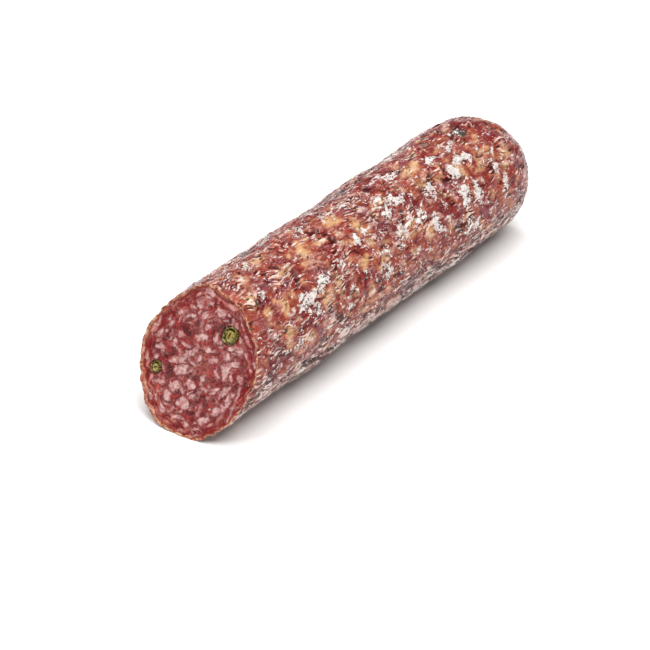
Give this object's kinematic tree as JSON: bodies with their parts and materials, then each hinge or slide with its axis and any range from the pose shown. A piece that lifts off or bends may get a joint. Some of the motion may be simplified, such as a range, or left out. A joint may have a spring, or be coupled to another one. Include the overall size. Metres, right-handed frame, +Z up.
{
  "type": "cured sausage",
  "caption": "Dry-cured sausage log in its casing, cut on the slant at one end to show marbled meat with green peppercorns, rounded and closed at the other.",
  "frame": {"origin": "middle of the log's footprint, on the surface that it rests on", "axes": "+Y along the log towards its closed end, so the slanted cut faces -Y; +Z up; +X to the right of the cut face as seen from the front"},
  "size_m": [0.0462, 0.1868, 0.0461],
  "materials": {
    "casing": "thin dry sausage casing over brick-red cured meat with tan fat showing through, satin to glossy on its wrinkles, with patches of white mould bloom",
    "meat": "moist cut face of coarse cured meat, crimson lean with pale lilac-pink grains of fat",
    "peppercorn": "brined green peppercorn, moist, olive green with a paler inside",
    "mould": "dry powdery white mould in small flakes"
  },
  "bodies": {
    "root": {"sausage": "casing"}
  },
  "joints": []
}
